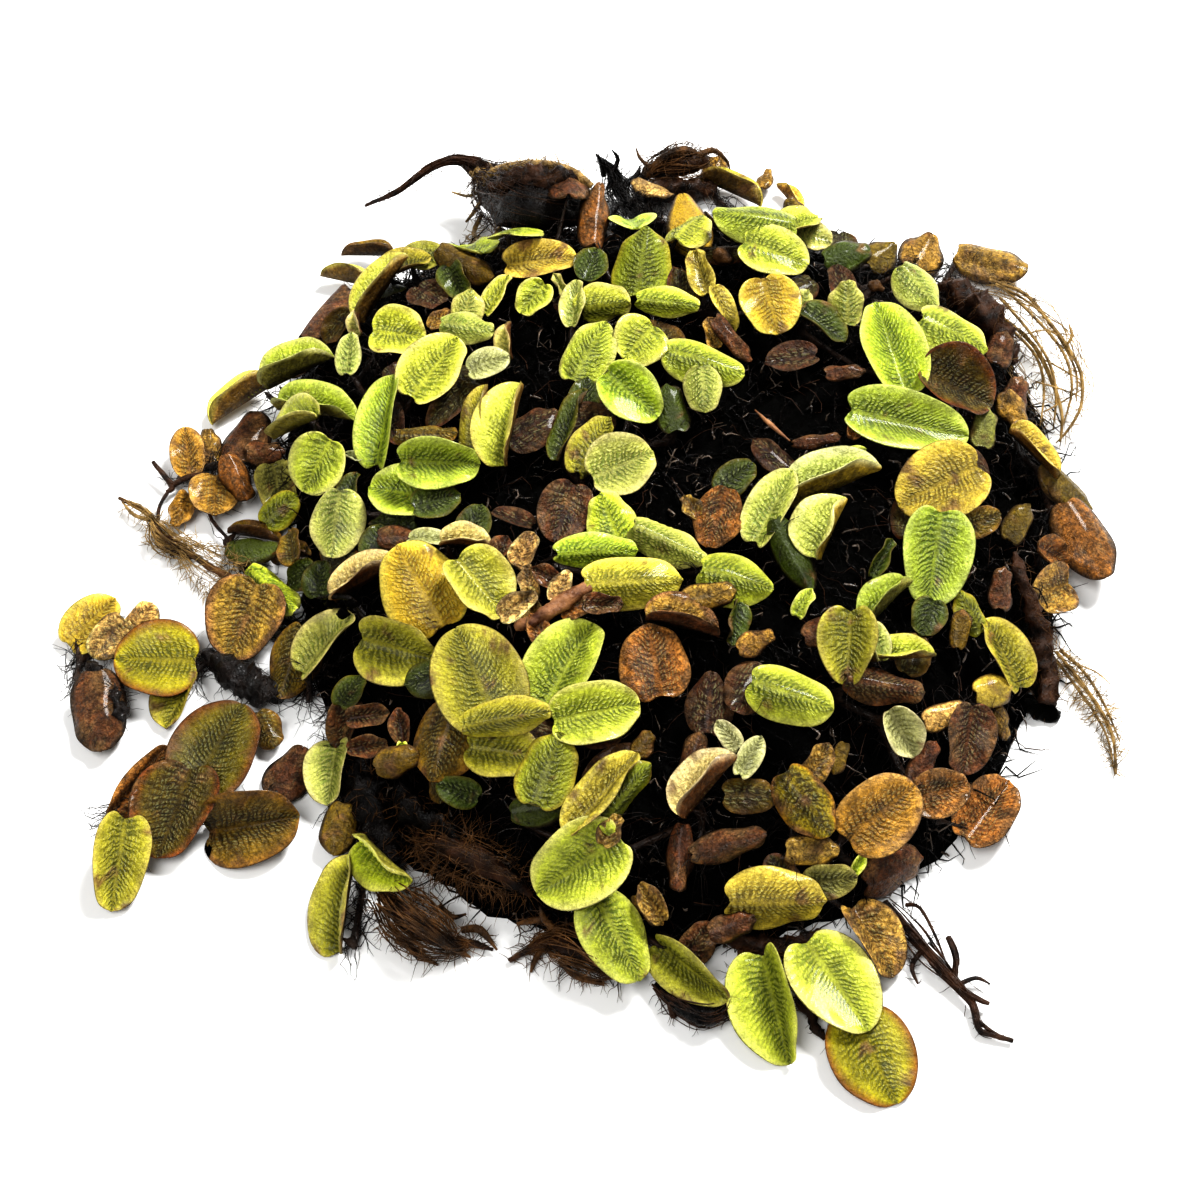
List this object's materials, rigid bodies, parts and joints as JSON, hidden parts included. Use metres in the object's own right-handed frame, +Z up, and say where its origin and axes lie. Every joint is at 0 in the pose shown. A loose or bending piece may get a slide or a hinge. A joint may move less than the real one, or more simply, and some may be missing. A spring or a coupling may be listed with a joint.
{
  "type": "floating fern heap",
  "caption": "Low heap of a small floating fern: round folded leaves on creeping stems over a mound of tangled dark roots",
  "frame": {"origin": "on the surface under the heap, below the middle of the view it was measured in", "axes": "+Z up, +Y from the near side of the heap to its far side, +X to the right"},
  "size_m": [0.1556, 0.1698, 0.0292],
  "materials": {
    "amber_leaf": "wet and glossy",
    "bright_leaf": "wet and glossy",
    "brown_root": "wet, dark and fibrous",
    "cream_brown_leaf": "wet and glossy",
    "dark_root": "wet, dark and fibrous",
    "deep_leaf": "wet and glossy",
    "gold_leaf": "wet and glossy",
    "green_leaf": "wet and glossy",
    "lime_brown_leaf": "wet and glossy",
    "lime_leaf": "wet and glossy",
    "olive_green_leaf": "wet and glossy",
    "olive_leaf": "wet and glossy",
    "olive_lime_leaf": "wet and glossy",
    "pale_gold_leaf": "wet and glossy",
    "pale_leaf": "wet and glossy",
    "rimmed_lime_leaf": "wet and glossy",
    "rimmed_olive_leaf": "wet and glossy",
    "rust_leaf": "wet and glossy",
    "straw_leaf": "wet and glossy",
    "straw_lime_leaf": "wet and glossy",
    "tan_leaf": "wet and glossy"
  },
  "bodies": {
    "root": {"back_dark_root": "dark_root", "back_left_root": "brown_root", "back_left_sprig_1": "lime_brown_leaf", "back_left_sprig_2": "lime_leaf", "back_right_sprig": "bright_leaf", "back_root_tuft": "brown_root", "back_sprig_1": "olive_leaf", "back_sprig_2": "olive_green_leaf", "back_sprig_3": "gold_leaf", "back_sprig_4": "green_leaf", "back_sprig_6": "pale_leaf", "centre_sprig_1": "green_leaf", "centre_sprig_2": "olive_lime_leaf", "centre_sprig_3": "green_leaf", "centre_sprig_4": "gold_leaf", "centre_sprig_5": "straw_lime_leaf", "centre_sprig_7": "rust_leaf", "crown_sprig_1": "lime_leaf", "crown_sprig_2": "lime_brown_leaf", "crown_sprig_3": "pale_leaf", "crown_sprig_4": "lime_leaf", "crown_sprig_5": "pale_leaf", "crown_sprig_6": "deep_leaf", "crown_sprig_7": "lime_leaf", "far_left_sprig_1": "rimmed_lime_leaf", "far_left_sprig_2": "rust_leaf", "far_slope_sprig_1": "lime_leaf", "far_slope_sprig_2": "lime_leaf", "front_dark_root": "dark_root", "front_hairy_root": "brown_root", "front_left_plume": "brown_root", "front_left_sprig_1": "rimmed_olive_leaf", "front_left_sprig_2": "olive_leaf", "front_left_sprig_3": "olive_lime_leaf", "front_right_sprig_1": "amber_leaf", "front_right_sprig_2": "rust_leaf", "front_right_sprig_3": "green_leaf", "front_right_sprig_4": "straw_leaf", "front_root_feet": "brown_root", "front_sprig_1": "lime_leaf", "front_sprig_2": "cream_brown_leaf", "front_sprig_3": "straw_leaf", "front_twig": "dark_root", "left_root": "brown_root", "left_sprig_1": "lime_leaf", "left_sprig_2": "gold_leaf", "left_sprig_3": "pale_leaf", "left_sprig_4": "bright_leaf", "left_twig": "dark_root", "right_feather_root": "brown_root", "right_root_plume": "brown_root", "right_sprig_1": "green_leaf", "right_sprig_2": "green_leaf", "right_sprig_3": "rust_leaf", "right_sprig_4": "tan_leaf", "right_sprig_5": "pale_gold_leaf", "right_sprig_6": "olive_lime_leaf", "right_sprig_7": "olive_lime_leaf", "root_mound": "dark_root"}
  },
  "joints": []
}
